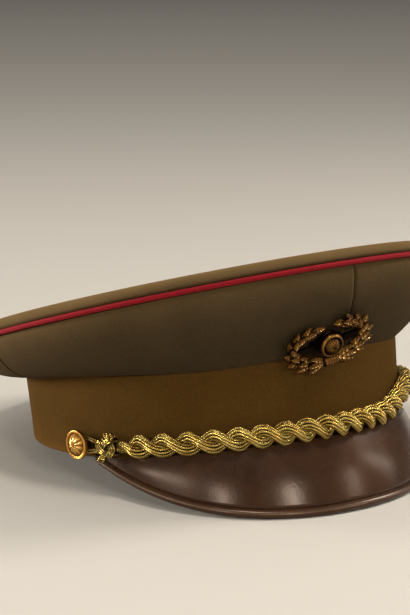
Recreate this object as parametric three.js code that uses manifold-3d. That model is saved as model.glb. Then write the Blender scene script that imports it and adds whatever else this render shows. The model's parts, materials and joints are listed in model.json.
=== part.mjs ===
// A peaked uniform cap, in millimetres, +Z up, with its front towards -Y and the wearer's right towards -X.
// A stiff cloth band carries a soft crown that flares to a piped rim, a steep glossy peak, a leaf badge,
// and a twisted gold chin cord that is knotted to two gilt buttons. The cap rests on the tip of its peak
// and the back of its band, so it leans back a little.
import * as THREE from 'three';
import { mergeVertices } from 'three/addons/utils/BufferGeometryUtils.js';
import Module from 'manifold-3d';

// Driving dimensions. Heights are above the bottom edge of the band, angles are degrees from the front.
const seat = 0.35; // gap between pieces that touch
const cloth = 1.8; // thickness of the crown's cloth
const ringSteps = 48; // facets round the cap

const band = {
  halfLength: 101, // outside, at the bottom edge
  halfWidth: 87,
  flare: 1.4, // the top edge stands out this much further
  wall: 2.4,
  edge: 0.7, // chamfer on its edges
  top: { front: 44.5, side: 40, back: 39 },
  topDip: 1.9, // its top edge dips this much between the front and each side
};

const rim = {
  halfLength: 119.5, // to the middle of the piping
  halfWidth: 117.2,
  centreY: 0.5,
  height: 63.3, // at the middle of the crown
  slope: 0.186, // rises this much for each millimetre forwards
  pipingRadius: 1.2,
  tuck: 0.6, // the cloth edges lie this far inside the middle of the piping
  rollHeight: 7.3, // the top panel stands this far above the piping
  rollDepth: 7.5,
};

// The crown wall leaves the band towards one point and reaches the rim from another.
// Columns are the values at the front, at the sides and at the back.
const crownWall = {
  sideSeam: 96, // angle of the seams at the sides
  leaveOut: { front: 9, side: 13, back: 10 },
  leaveUp: { front: 15, side: -6, back: -11 },
  arriveDown: { front: 18, side: 14, back: 8 },
};

const peak = {
  corner: 76.4, // angle of each corner
  reach: 28, // from the band to the middle of the bead, at the front
  roundness: 2.88, // how square its outline is in front
  taper: 1.22, // how finely it runs out at the corners
  frontSlope: 63.2, // below level, in degrees
  cornerSlope: 67.3,
  forward: 0.28, // how far the ribs turn from square to the band towards straight ahead
  seamFront: 5.5, // height of its inner edge at the front and at the corners
  seamCorner: -0.5,
  hang: 0.8, // the bead starts this far below the band
  thickness: 2.4,
  bulge: 1.2, // its face swells out this much
  beadRadius: 2,
  grooveWidth: 0.8,
  steps: 30,
  cornerInset: 0.6, // of a step, so that each corner keeps some width
};

const cord = {
  frontHeight: 10.5, // middle of the cord
  sideHeight: 4.6,
  leftRide: 9, // it has ridden up this much on the wearer's left
  rideUp: [12, 40], // between these angles, and back down between the next
  rideDown: [58, 88],
  halfSpan: 115.2, // from the front to where each end enters its knot, along the cord
  endTaper: 0.5, // each end is drawn in by this share
  taperLength: 10,
  flatness: 0.74, // its depth against the band, as a share of its height
  pitch: 24.5,
  leftPitch: 18, // where it is bunched up on the wearer's left
  bunchFrom: -80, // along the cord from the front
  bunchEase: 90,
  frontTurn: 77.5, // of the first strand, from the top of the cord, in degrees
  strandOffset: 2.85, // from the middle of the cord to the middle of a strand
  strandRadius: 2.8, // to the corners of its six-sided section
  stepsPerTurn: 10,
  lineSteps: 60, // along its middle line, from side to side
};

const knot = { length: 10.4, radius: 5.4, endRadius: 3.2, flatness: 0.88, sides: 14 };
const loop = {
  radius: 1.1,
  legSpread: 1.8,
  legInset: 2.2, // its legs leave the knot this much nearer to the band than the knot's middle
  standOff: 2.3,
  bend: 3.3,
  steps: 18,
};

// The two turned discs: a raised rim round a field that swells to a dome.
const button = {
  angle: 81.5,
  height: 6.8,
  shankRadius: 1.6,
  shankLength: 4.2,
  radius: 7,
  rimWidth: 1.4,
  rimHeight: 2.1,
  domeHeight: 3.6,
};
const boss = { radius: 5.8, rimWidth: 1.7, rimHeight: 2.2, domeHeight: 4 };
const discSides = 20;

const badge = {
  angle: -7, // its middle sits to the wearer's right of the front seam
  lean: 24, // its top leans forward from upright, in degrees
  turn: 13, // its right-hand end is turned down, seen by the wearer
  middleOut: 8.6, // in front of the band, and above the joint of band and crown
  middleUp: 4.8,
  bend: 80, // radius that its ends curve back on
  halfWidth: 18, // to the stem of each branch
  halfHeight: 9.2,
  firstAngle: -78, // the left-hand branch, from level
  lastAngle: 62,
  leafPairs: 7,
  leafLength: 8.6,
  leafWidth: 4.6,
  leafThickness: 2.6,
  leafSplay: 25,
  leafLift: 8,
  leafOverlap: 0.1, // share of each leaf behind its foot
  leafGrowth: { tie: 1.22, tip: 0.88 }, // size of the leaves at the two ends of a branch
  stemRadius: 1.1,
  stemSteps: 12,
  plateRadius: 6.6,
  plateThickness: 1.4,
  barHeight: 3,
  tieRadius: 2.4,
  tieLength: 7,
  lugRadius: 1.5,
  lugSpread: 7,
  lugReach: 4.2,
};

const colours = {
  crownCloth: 0x5a4b33,
  bandCloth: 0x5f4119,
  piping: 0x8f1220,
  peak: 0x3f1f1a,
  gold: 0xbfa25a,
  gilt: 0xc79a4a,
  agedBrass: 0x7a592c,
};

const radians = THREE.MathUtils.degToRad;
const up = new THREE.Vector3(0, 0, 1);
const mergeDistance = 1e-4;

// A smooth value round the cap from its front, side and back values.
function around(values, angle) {
  const ends = (values.front + values.back) / 2;
  const second = (ends - values.side) / 2;
  const first = (values.front - values.back) / 2;
  return values.side + second + first * Math.cos(angle) + second * Math.cos(2 * angle);
}

// Level direction square to an oval with its front towards -Y.
function outward(oval, angle) {
  const slant = new THREE.Vector3(Math.sin(angle) / oval.halfWidth, -Math.cos(angle) / oval.halfLength, 0);
  return slant.normalize();
}

function ovalPoint(oval, angle, out, height) {
  const { halfLength, halfWidth } = oval;
  const point = new THREE.Vector3(halfWidth * Math.sin(angle), -halfLength * Math.cos(angle), height);
  return point.addScaledVector(outward(oval, angle), out);
}

// Height of the band's top edge.
function bandTop(angle) {
  const dip = Math.cos(angle) > 0 ? band.topDip * Math.sin(2 * angle) ** 2 : 0;
  return around(band.top, angle) - dip;
}

// A point at a height on the outside of the band, moved outwards.
function bandPoint(angle, height, out) {
  return ovalPoint(band, angle, out + (band.flare * height) / bandTop(angle), height);
}

// A point beside the piping: in from its middle, and up from the sloping plane that it lies in.
function rimPoint(angle, inwards, rise) {
  const point = ovalPoint(rim, angle, -inwards, 0);
  point.y += rim.centreY;
  point.z = rimPlane(point.y) + rise;
  return point;
}

function rimPlane(y) {
  return rim.height + rim.slope * (rim.centreY - y);
}

// Merges equal corners and turns the faces of a closed shape outwards.
function closedSolid(geometry) {
  geometry.deleteAttribute('normal');
  geometry.deleteAttribute('uv');
  const merged = mergeVertices(geometry, mergeDistance);
  const position = merged.getAttribute('position');
  const corner = (index) => new THREE.Vector3().fromBufferAttribute(position, index);
  let faces = [];
  let volume = 0;
  for (let i = 0; i < merged.index.count; i += 3) {
    const [a, b, c] = [0, 1, 2].map((k) => merged.index.getX(i + k));
    if (a !== b && b !== c && c !== a) {
      faces.push([a, b, c]);
      volume += corner(a).dot(corner(b).cross(corner(c)));
    }
  }
  if (volume < 0) {
    faces = faces.map(([a, b, c]) => [a, c, b]);
  }
  merged.setIndex(faces.flat());
  merged.computeVertexNormals();
  return merged;
}

// Joins closed sections, each a list of as many points, into one solid: a ring, or a length with flat ends.
function sweep(sections, isRing) {
  const size = sections[0].length;
  const at = (station, corner) => (station % sections.length) * size + (corner % size);
  const faces = [];
  const steps = isRing ? sections.length : sections.length - 1;
  for (let station = 0; station < steps; station += 1) {
    for (let corner = 0; corner < size; corner += 1) {
      faces.push(at(station, corner), at(station + 1, corner), at(station + 1, corner + 1));
      faces.push(at(station, corner), at(station + 1, corner + 1), at(station, corner + 1));
    }
  }
  if (!isRing) {
    for (let corner = 0; corner < size / 2 - 1; corner += 1) {
      const far = size - 1 - corner;
      faces.push(at(0, corner), at(0, corner + 1), at(0, far - 1));
      faces.push(at(0, corner), at(0, far - 1), at(0, far));
      faces.push(at(steps, corner), at(steps, far - 1), at(steps, corner + 1));
      faces.push(at(steps, corner), at(steps, far), at(steps, far - 1));
    }
  }
  const geometry = new THREE.BufferGeometry().setFromPoints(sections.flat());
  geometry.setIndex(faces);
  return closedSolid(geometry);
}

// A round solid about its own Y axis. Each profile row is a radius and a distance along the axis.
function turned(profile, sides) {
  const points = profile.map(([radius, along]) => new THREE.Vector2(radius, along));
  return closedSolid(new THREE.LatheGeometry(points, sides));
}

// Points of a regular section round a middle, with one of its flats facing along the first direction.
function roundSection(middle, first, second, radius, sides) {
  return Array.from({ length: sides }, (_, corner) => {
    const turn = ((corner + 0.5) / sides) * 2 * Math.PI;
    const point = middle.clone().addScaledVector(first, radius * Math.cos(turn));
    return point.addScaledVector(second, radius * Math.sin(turn));
  });
}

function ringAngles() {
  return Array.from({ length: ringSteps }, (_, step) => (step / ringSteps) * 2 * Math.PI);
}

function bandSolid() {
  const sections = ringAngles().map((angle) => {
    const top = bandTop(angle);
    return [
      bandPoint(angle, 0, -band.edge),
      bandPoint(angle, band.edge, 0),
      bandPoint(angle, top - band.edge, 0),
      bandPoint(angle, top, -band.edge),
      bandPoint(angle, top, band.edge / 2 - band.wall),
      bandPoint(angle, top - band.edge, -band.wall),
      bandPoint(angle, band.edge, -band.wall),
      bandPoint(angle, 0, band.edge / 2 - band.wall),
    ];
  });
  return sweep(sections, true);
}

// Outer and inner outline of the crown wall at one angle, as a bent strip from the band out to the rim.
function crownWallSection(angle) {
  const rows = 9;
  const start = bandPoint(angle, bandTop(angle) + seat, 0);
  const end = rimPoint(angle, rim.tuck, -rim.pipingRadius - seat);
  const across = new THREE.Vector3(end.x - start.x, end.y - start.y, 0);
  const out = across.length();
  across.normalize();
  const rise = end.z - start.z;
  const profile = new THREE.CubicBezierCurve(
    new THREE.Vector2(0, 0),
    new THREE.Vector2(around(crownWall.leaveOut, angle), around(crownWall.leaveUp, angle)),
    new THREE.Vector2(out, rise - around(crownWall.arriveDown, angle)),
    new THREE.Vector2(out, rise),
  );
  const outer = [];
  const inner = [];
  for (let row = 0; row < rows; row += 1) {
    const place = profile.getPoint(row / (rows - 1));
    const along = profile.getTangent(row / (rows - 1));
    const point = start.clone().addScaledVector(across, place.x).addScaledVector(up, place.y);
    outer.push(point);
    const inside = point.clone().addScaledVector(across, -cloth * along.y);
    inner.unshift(inside.addScaledVector(up, cloth * along.x));
  }
  return [...outer, ...inner];
}

// One quarter of the crown wall, between two seams.
function crownQuarter(firstDegrees, lastDegrees) {
  const steps = ringSteps / 4;
  const seamTurn = seat / 2 / band.halfWidth;
  const sections = Array.from({ length: steps + 1 }, (_, step) => {
    const inset = step === 0 ? seamTurn : step === steps ? -seamTurn : 0;
    return crownWallSection(radians(firstDegrees + ((lastDegrees - firstDegrees) * step) / steps) + inset);
  });
  return sweep(sections, false);
}

// The top panel: a roll round the rim that runs into a flat oval.
function crownTop() {
  const rollSteps = 4;
  const flatShares = [0.6, 0.25, 0];
  const foot = rim.pipingRadius + seat;
  const middle = new THREE.Vector3(0, rim.centreY, 0);
  const outline = (angle, depth) => {
    const points = [];
    for (let step = 0; step <= rollSteps; step += 1) {
      const turn = ((step / rollSteps) * Math.PI) / 2;
      const inwards = rim.tuck + rim.rollDepth - (rim.rollDepth - depth) * Math.cos(turn);
      points.push(rimPoint(angle, inwards, foot + (rim.rollHeight - foot - depth) * Math.sin(turn)));
    }
    const edge = points.at(-1);
    flatShares.forEach((share) => {
      const point = middle.clone().lerp(edge, share);
      point.z = rimPlane(point.y) + rim.rollHeight - depth;
      points.push(point);
    });
    return points;
  };
  const sections = ringAngles().map((angle) => [...outline(angle, 0), ...outline(angle, cloth).reverse()]);
  return sweep(sections, true);
}

function pipingSolid() {
  const sections = ringAngles().map((angle) => {
    return roundSection(rimPoint(angle, 0, 0), outward(rim, angle), up, rim.pipingRadius, 6);
  });
  return sweep(sections, true);
}

// Middle of the bead along the peak's edge, for a share from -1 at one corner to 1 at the other.
function beadMiddle(share) {
  const angle = radians(peak.corner) * share;
  const reach = peak.reach * (1 - Math.abs(share) ** peak.roundness) ** peak.taper;
  const slope = radians(peak.frontSlope + (peak.cornerSlope - peak.frontSlope) * share * share);
  const ahead = outward(band, angle);
  ahead.y -= peak.forward;
  ahead.normalize();
  const point = bandPoint(angle, 0, peak.beadRadius + 2 * seat);
  point.z -= peak.hang + reach * Math.sin(slope);
  return point.addScaledVector(ahead, reach * Math.cos(slope));
}

// The peak across its thickness: down its face, over the groove, round the bead and back underneath.
function peakSection(share) {
  const faceRows = 5;
  const beadTurns = [120, 75, 30, -15, -60, -105, -150];
  const angle = radians(peak.corner) * share;
  const seam = peak.seamCorner + (peak.seamFront - peak.seamCorner) * (1 - share * share);
  const clearOfBand = 1.5 * seat + peak.thickness;
  const inner = bandPoint(angle, seam, clearOfBand);
  const bead = beadMiddle(share);
  const down = bead.clone().sub(inner);
  const length = down.length();
  down.normalize();
  const face = new THREE.Vector3().crossVectors(down, outward(band, angle)).cross(down).normalize();
  const groove = length - peak.beadRadius - peak.grooveWidth;
  const place = (along, height) => inner.clone().addScaledVector(down, along).addScaledVector(face, height);
  const top = [];
  const bottom = [];
  for (let row = 0; row <= faceRows; row += 1) {
    const part = row / faceRows;
    const swell = peak.bulge * Math.sin(Math.PI * part) * (1 - share * share);
    top.push(place(groove * part, swell));
    bottom.unshift(place(groove * part, swell - peak.thickness));
  }
  const lip = beadTurns.map((degrees) => {
    const turn = radians(degrees);
    const height = peak.beadRadius * Math.sin(turn) - peak.thickness / 2;
    return place(length + peak.beadRadius * Math.cos(turn), height);
  });
  return [...top, place(groove + peak.grooveWidth / 2, -peak.thickness / 4), ...lip, ...bottom];
}

function peakSolid() {
  const sections = Array.from({ length: peak.steps + 1 }, (_, step) => {
    const part = (step + peak.cornerInset) / (peak.steps + 2 * peak.cornerInset);
    return peakSection(-Math.cos(Math.PI * part));
  });
  return sweep(sections, false);
}

function cordHeight(angle) {
  const degrees = THREE.MathUtils.radToDeg(angle);
  const [ridden, returned] = [cord.rideUp, cord.rideDown].map((range) => THREE.MathUtils.smoothstep(degrees, ...range));
  const level = cord.sideHeight + (cord.frontHeight - cord.sideHeight) * Math.cos(angle);
  return level + cord.leftRide * (ridden - returned);
}

// The middle line of the chin cord, across the front of the band from side to side.
const cordDepth = cord.flatness * (cord.strandOffset + cord.strandRadius * Math.cos(Math.PI / 6));
const cordLine = new THREE.CatmullRomCurve3(
  Array.from({ length: cord.lineSteps + 1 }, (_, step) => {
    const angle = Math.PI * (step / cord.lineSteps - 0.5);
    return bandPoint(angle, cordHeight(angle), cordDepth + seat);
  }),
);
cordLine.arcLengthDivisions = 1200;
const cordLineLength = cordLine.getLength();

// Point and directions on that line, at a distance from the front: along it, out from the cap, and up.
function cordPlace(distance) {
  const share = 0.5 + distance / cordLineLength;
  const along = cordLine.getTangentAt(share);
  const out = new THREE.Vector3().crossVectors(along, up).normalize();
  const rise = new THREE.Vector3().crossVectors(out, along);
  return { middle: cordLine.getPointAt(share), along, out, rise };
}

// Turns of the twist from the front to a place along the cord.
function cordTurns(distance) {
  const past = Math.max(distance - cord.bunchFrom, 0);
  const bunched = past < cord.bunchEase ? (past * past) / (2 * cord.bunchEase) : past - cord.bunchEase / 2;
  return distance / cord.pitch + bunched * (1 / cord.leftPitch - 1 / cord.pitch);
}

// One of the two twisted strands. Its near side runs down from the wearer's right to the left.
// Both strands are drawn in at their ends and pressed flat against the band.
function cordStrand(frontTurn) {
  const turns = cordTurns(cord.halfSpan) - cordTurns(-cord.halfSpan);
  const steps = Math.round(turns * cord.stepsPerTurn);
  const places = Array.from({ length: steps + 1 }, (_, step) => {
    const distance = cord.halfSpan * ((2 * step) / steps - 1);
    const turn = radians(frontTurn) + 2 * Math.PI * cordTurns(distance);
    const { middle, along, out, rise } = cordPlace(distance);
    const spoke = rise.multiplyScalar(Math.cos(turn)).addScaledVector(out, Math.sin(turn));
    const fromEnd = cord.halfSpan - Math.abs(distance);
    const size = 1 - cord.endTaper * (1 - THREE.MathUtils.smoothstep(fromEnd, 0, cord.taperLength));
    return { middle, along, out, spoke, size, point: middle.clone().addScaledVector(spoke, cord.strandOffset) };
  });
  const sections = places.map(({ middle, along, out, spoke, size, point }, step) => {
    const isEnd = step === 0 || step === steps;
    const heading = isEnd ? along : places[step + 1].point.clone().sub(places[step - 1].point);
    const side = heading.clone().cross(spoke).normalize();
    return roundSection(point, spoke, side, cord.strandRadius, 6).map((corner) => {
      const offset = corner.sub(middle).multiplyScalar(size);
      return offset.addScaledVector(out, (cord.flatness - 1) * offset.dot(out)).add(middle);
    });
  });
  return sweep(sections, false);
}

// Where a knot's middle lies, on the wearer's left (1) or right (-1).
function knotPlace(side) {
  const place = cordPlace(side * (cord.halfSpan + seat + knot.length / 2));
  place.middle.addScaledVector(place.out, knot.radius * knot.flatness - cordDepth);
  place.away = place.along.clone().multiplyScalar(side);
  return place;
}

function knotSolid() {
  const half = knot.length / 2;
  const sides = [-1, -0.5, 0, 0.5, 1].map((share) => {
    return [knot.endRadius + (knot.radius - knot.endRadius) * (1 - share * share), half * share];
  });
  return turned([[0, -half], ...sides, [0, half]], knot.sides).scale(knot.flatness, 1, 1);
}

// A loop from the knot round the button's shank and back to the knot.
function loopSolid(side) {
  const { steps } = loop;
  const { middle, away, out, rise } = knotPlace(side);
  const angle = side * radians(button.angle);
  const centre = bandPoint(angle, button.height, loop.standOff);
  const past = new THREE.Vector3().crossVectors(outward(band, angle), up).multiplyScalar(-side);
  const face = middle.addScaledVector(away, knot.length / 2 + seat).addScaledVector(out, -loop.legInset);
  const leg = (sign, distance) => {
    return face.clone().addScaledVector(rise, sign * loop.legSpread).addScaledVector(away, distance);
  };
  const bend = (degrees) => {
    const turn = radians(degrees);
    const point = centre.clone().addScaledVector(past, loop.bend * Math.sin(turn));
    return point.addScaledVector(up, loop.bend * Math.cos(turn));
  };
  const upperLeg = [leg(1, 0), leg(1, loop.radius)];
  const lowerLeg = [leg(-1, loop.radius), leg(-1, 0)];
  const route = new THREE.CatmullRomCurve3([...upperLeg, ...[0, 45, 90, 135, 180].map(bend), ...lowerLeg]);
  const normal = outward(band, angle);
  const sections = Array.from({ length: steps + 1 }, (_, step) => {
    const isEnd = step === 0 || step === steps;
    const along = isEnd ? away.clone() : route.getTangentAt(step / steps);
    if (step === steps) {
      along.negate();
    }
    const second = new THREE.Vector3().crossVectors(along, normal).normalize();
    const first = new THREE.Vector3().crossVectors(second, along);
    return roundSection(route.getPointAt(step / steps), first, second, loop.radius, 6);
  });
  return sweep(sections, false);
}

// Profile of a disc from the outside of its back, over its raised rim, to the top of its dome.
function rimmedDome(disc, back) {
  const { radius, rimWidth, rimHeight, domeHeight } = disc;
  const fieldShare = 0.75; // of the rim's height, where the field meets it
  const field = { radius: radius - rimWidth, height: rimHeight * fieldShare };
  const dome = [1, 0.7, 0.35, 0].map((share) => {
    return [field.radius * share, back + field.height + (domeHeight - field.height) * (1 - share * share)];
  });
  const raised = [[radius, back], [radius, back + field.height], [radius - rimWidth / 2, back + rimHeight]];
  return [...raised, ...dome];
}

// A shank button: its axis runs out from the band.
function buttonSolid() {
  const { shankRadius, shankLength } = button;
  const shank = [[0, 0], [shankRadius, 0], [shankRadius, shankLength]];
  return turned([...shank, ...rimmedDome(button, shankLength)], discSides);
}

// A point on the badge: to the wearer's left and up from its middle, bent back at the ends.
function badgePoint(left, rise) {
  return new THREE.Vector3(left, rise, -(left * left) / (2 * badge.bend));
}

// A long lens-shaped leaf from its foot, heading in a direction on the badge.
function leafGeometry(foot, heading, size) {
  const leaf = new THREE.SphereGeometry(0.5, 6, 3);
  leaf.scale(badge.leafWidth * size, badge.leafLength * size, badge.leafThickness);
  leaf.translate(0, badge.leafLength * size * (0.5 - badge.leafOverlap), 0);
  leaf.rotateX(radians(badge.leafLift));
  leaf.rotateZ(heading - Math.PI / 2);
  leaf.translate(foot.x, foot.y, foot.z);
  return leaf;
}

// Stem, paired leaves and end leaf of one branch, on the wearer's left (1) or right (-1).
function branchGeometries(side) {
  const place = (share) => {
    const turn = radians(badge.firstAngle + (badge.lastAngle - badge.firstAngle) * share);
    const foot = badgePoint(side * badge.halfWidth * Math.cos(turn), badge.halfHeight * Math.sin(turn));
    const heading = Math.atan2(badge.halfHeight * Math.cos(turn), -side * badge.halfWidth * Math.sin(turn));
    const size = THREE.MathUtils.lerp(badge.leafGrowth.tie, badge.leafGrowth.tip, share);
    return { foot, heading, size };
  };
  const end = place(1);
  const pieces = [leafGeometry(end.foot, end.heading, end.size)];
  for (let pair = 0; pair < badge.leafPairs; pair += 1) {
    const { foot, heading, size } = place(pair / badge.leafPairs);
    [-1, 1].forEach((sign) => pieces.push(leafGeometry(foot, heading + sign * radians(badge.leafSplay), size)));
  }
  const front = new THREE.Vector3(0, 0, 1);
  const sections = Array.from({ length: badge.stemSteps + 1 }, (_, step) => {
    const { foot, heading } = place(step / badge.stemSteps);
    const across = new THREE.Vector3(-Math.sin(heading), Math.cos(heading), 0);
    return roundSection(foot, front, across, badge.stemRadius, 6);
  });
  pieces.push(sweep(sections, false));
  return pieces;
}

// The wreath in one piece: branches, a tie where they cross, a plate and bar behind the boss, and two lugs.
function wreathSolid(wasm) {
  const { plateRadius, plateThickness, lugRadius, lugReach } = badge;
  const plate = new THREE.CylinderGeometry(plateRadius, plateRadius, plateThickness, discSides);
  plate.rotateX(Math.PI / 2);
  const bar = new THREE.BoxGeometry(2 * badge.halfWidth, badge.barHeight, plateThickness);
  bar.translate(0, 0, -plateThickness / 2);
  const tie = new THREE.CylinderGeometry(badge.tieRadius, badge.tieRadius, badge.tieLength, 12);
  tie.rotateZ(Math.PI / 2);
  tie.translate(0, -badge.halfHeight, 0);
  const lugs = [-1, 1].map((side) => {
    const lug = new THREE.CylinderGeometry(lugRadius, lugRadius, lugReach, 8);
    lug.rotateX(Math.PI / 2);
    return lug.translate(side * badge.lugSpread, 0, -lugReach / 2);
  });
  const pieces = [...branchGeometries(1), ...branchGeometries(-1), plate, bar, tie, ...lugs];
  const solids = pieces.map((piece) => {
    const closed = closedSolid(piece);
    const vertProperties = new Float32Array(closed.getAttribute('position').array);
    const triVerts = new Uint32Array(closed.index.array);
    return new wasm.Manifold(new wasm.Mesh({ numProp: 3, vertProperties, triVerts }));
  });
  const joined = solids.reduce((whole, solid) => whole.add(solid)).getMesh();
  const geometry = new THREE.BufferGeometry();
  geometry.setAttribute('position', new THREE.BufferAttribute(joined.vertProperties, 3));
  geometry.setIndex(Array.from(joined.triVerts));
  return closedSolid(geometry);
}

const finishes = {
  crown: { color: colours.crownCloth, roughness: 0.95, metalness: 0 },
  band: { color: colours.bandCloth, roughness: 0.95, metalness: 0 },
  piping: { color: colours.piping, roughness: 0.85, metalness: 0 },
  peak: { color: colours.peak, roughness: 0.28, metalness: 0 },
  gold: { color: colours.gold, roughness: 0.45, metalness: 0.8 },
  gilt: { color: colours.gilt, roughness: 0.3, metalness: 1 },
  brass: { color: colours.agedBrass, roughness: 0.42, metalness: 1 },
};

const cap = new THREE.Group();

function addPiece(parent, name, geometry, finish) {
  const mesh = new THREE.Mesh(geometry, new THREE.MeshStandardMaterial(finishes[finish]));
  mesh.name = name;
  parent.add(mesh);
  return mesh;
}

const bandPiece = addPiece(cap, 'band', bandSolid(), 'band');
const peakPiece = addPiece(cap, 'peak', peakSolid(), 'peak');
addPiece(cap, 'crown_front_left', crownQuarter(0, crownWall.sideSeam), 'crown');
addPiece(cap, 'crown_back_left', crownQuarter(crownWall.sideSeam, 180), 'crown');
addPiece(cap, 'crown_back_right', crownQuarter(-180, -crownWall.sideSeam), 'crown');
addPiece(cap, 'crown_front_right', crownQuarter(-crownWall.sideSeam, 0), 'crown');
addPiece(cap, 'crown_top', crownTop(), 'crown');
addPiece(cap, 'piping', pipingSolid(), 'piping');
addPiece(cap, 'chin_cord_a', cordStrand(cord.frontTurn), 'gold');
addPiece(cap, 'chin_cord_b', cordStrand(cord.frontTurn + 180), 'gold');

for (const [side, word] of [[-1, 'right'], [1, 'left']]) {
  const { middle, along, out, rise } = knotPlace(side);
  const knotPiece = addPiece(cap, `knot_${word}`, knotSolid(), 'gold');
  knotPiece.position.copy(middle);
  knotPiece.quaternion.setFromRotationMatrix(new THREE.Matrix4().makeBasis(out, along, rise));
  addPiece(cap, `cord_loop_${word}`, loopSolid(side), 'gold');
  const angle = side * radians(button.angle);
  const buttonPiece = addPiece(cap, `button_${word}`, buttonSolid(), 'gilt');
  buttonPiece.position.copy(bandPoint(angle, button.height, seat));
  buttonPiece.quaternion.setFromUnitVectors(new THREE.Vector3(0, 1, 0), outward(band, angle));
}

// The badge stands on its lugs in front of the joint of band and crown.
const badgeGroup = new THREE.Group();
const badgeAngle = radians(badge.angle);
const facing = outward(band, badgeAngle);
badgeGroup.position.copy(bandPoint(badgeAngle, band.top.front + badge.middleUp, badge.middleOut));
badgeGroup.rotation.set(radians(90 + badge.lean), 0, radians(badge.turn));
badgeGroup.rotateOnWorldAxis(up, Math.atan2(facing.x, -facing.y));
cap.add(badgeGroup);
const wasm = await Module();
wasm.setup();
addPiece(badgeGroup, 'badge_wreath', wreathSolid(wasm), 'brass');
const bossSolid = turned([[0, 0], ...rimmedDome(boss, 0)], discSides);
const bossPiece = addPiece(badgeGroup, 'badge_boss', bossSolid, 'brass');
bossPiece.position.z = badge.plateThickness / 2 + seat;
bossPiece.rotation.x = Math.PI / 2;

// Lowest height of a piece once the cap leans back.
function lowest(mesh, lean) {
  const position = mesh.geometry.getAttribute('position');
  let low = Infinity;
  for (let i = 0; i < position.count; i += 1) {
    low = Math.min(low, position.getZ(i) * Math.cos(lean) - position.getY(i) * Math.sin(lean));
  }
  return low;
}

// The cap leans back until its peak and the back of its band touch one level surface.
function restingLean() {
  const steepest = 20;
  const halvings = 40;
  let [least, most] = [0, radians(steepest)];
  for (let pass = 0; pass < halvings; pass += 1) {
    const lean = (least + most) / 2;
    if (lowest(peakPiece, lean) < lowest(bandPiece, lean)) {
      least = lean;
    } else {
      most = lean;
    }
  }
  return (least + most) / 2;
}

cap.rotation.x = -restingLean();
const bounds = new THREE.Box3().setFromObject(cap, true);
cap.position.set(0, -(bounds.min.y + bounds.max.y) / 2, -bounds.min.z);

export default cap;
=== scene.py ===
import json
import math

import bmesh
import bpy
import numpy as np
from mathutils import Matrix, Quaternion, Vector


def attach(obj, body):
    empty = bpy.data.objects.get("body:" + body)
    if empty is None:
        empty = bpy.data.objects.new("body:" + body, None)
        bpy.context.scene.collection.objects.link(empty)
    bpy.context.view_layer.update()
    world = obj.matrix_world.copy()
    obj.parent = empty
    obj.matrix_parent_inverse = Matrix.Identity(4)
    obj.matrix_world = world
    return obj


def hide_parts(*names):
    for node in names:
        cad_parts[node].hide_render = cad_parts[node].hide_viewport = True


# A peaked uniform cap with a twisted gold chin cord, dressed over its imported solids.
# Lengths are millimetres in the cap's own frame: front towards -Y, bottom edge of the band at height 0.
# toRow leans the cap back to where it rests and turns them to metres.
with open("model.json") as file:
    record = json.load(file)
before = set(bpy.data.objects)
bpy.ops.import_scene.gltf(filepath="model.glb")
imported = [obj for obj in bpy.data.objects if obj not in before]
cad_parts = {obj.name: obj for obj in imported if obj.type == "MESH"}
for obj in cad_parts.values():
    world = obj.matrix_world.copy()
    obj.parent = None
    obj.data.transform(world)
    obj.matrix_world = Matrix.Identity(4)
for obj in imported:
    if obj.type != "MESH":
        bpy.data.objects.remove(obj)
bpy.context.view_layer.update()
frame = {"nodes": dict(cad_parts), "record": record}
print("frame loaded with", len(frame["nodes"]), "solids")

seat = 0.35  # gap that the solids keep between pieces
up = np.array([0, 0, 1.0])
rng = np.random.default_rng(11)

band = {
    "halfLength": 101, "halfWidth": 87, "flare": 1.4, "wall": 2.4, "edge": 1.1,
    "top": (44.5, 40, 39), "topDip": 1.9,  # front, side, back, and how far it dips between the first two
    "seamDepth": 0.8, "seamWidth": 1.1, "softness": 0.12, "waveRise": 9, "edgeFade": 0.5, "fadeReach": 3,
    "threadRadius": 95, "columns": 320, "rows": 26, "edgeRows": 5,
}
rim = {
    "halfLength": 119.5, "halfWidth": 117.2, "centreY": 0.5, "height": 63.3, "slope": 0.186,
    "pipingRadius": 1.2, "tuck": 0.6, "rollHeight": 7.3, "rollDepth": 7.5,
}


# shares and directions

def unit(vectors):
    return vectors / np.linalg.norm(vectors, axis=-1, keepdims=True)


def circle(count):
    # angles spaced evenly round one turn
    return np.arange(count) / count * 2 * np.pi


def between(first, last, share):
    return first + (last - first) * share


def eased(value, low, high):
    # from 0 at the low value to 1 at the high one, slow at both ends
    share = np.clip((value - low) / (high - low), 0, 1)
    return share * share * (3 - 2 * share)


def hump(distance, width):
    # 1 at no distance, and all but gone two widths away
    return np.exp(-(distance / width) ** 2)


def waves(table, angle):
    # each row is how many waves go round the cap, their phase and their share
    return sum(share * np.sin(count * angle + phase) for count, phase, share in table)


def turnAbout(points, axis, angle):
    first, second = [(1, 2), (2, 0), (0, 1)][axis]
    turned = np.array(points, float)
    turned[..., first] = points[..., first] * math.cos(angle) - points[..., second] * math.sin(angle)
    turned[..., second] = points[..., first] * math.sin(angle) + points[..., second] * math.cos(angle)
    return turned


# places on the cap

def around(values, angle):
    # a smooth value round the cap from its front, side and back values
    front, side, back = values
    second = ((front + back) / 2 - side) / 2
    return side + second + (front - back) / 2 * np.cos(angle) + second * np.cos(2 * angle)


def outward(oval, angle):
    slant = [np.sin(angle) / oval["halfWidth"], -np.cos(angle) / oval["halfLength"], 0 * angle]
    return unit(np.stack(slant, -1))


def ovalPoint(oval, angle, out, height):
    level = [oval["halfWidth"] * np.sin(angle), -oval["halfLength"] * np.cos(angle), height + 0 * angle]
    return np.stack(level, -1) + outward(oval, angle) * (out + 0 * angle)[..., None]


def bandTop(angle):
    return around(band["top"], angle) - band["topDip"] * np.sin(2 * angle) ** 2 * (np.cos(angle) > 0)


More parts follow.
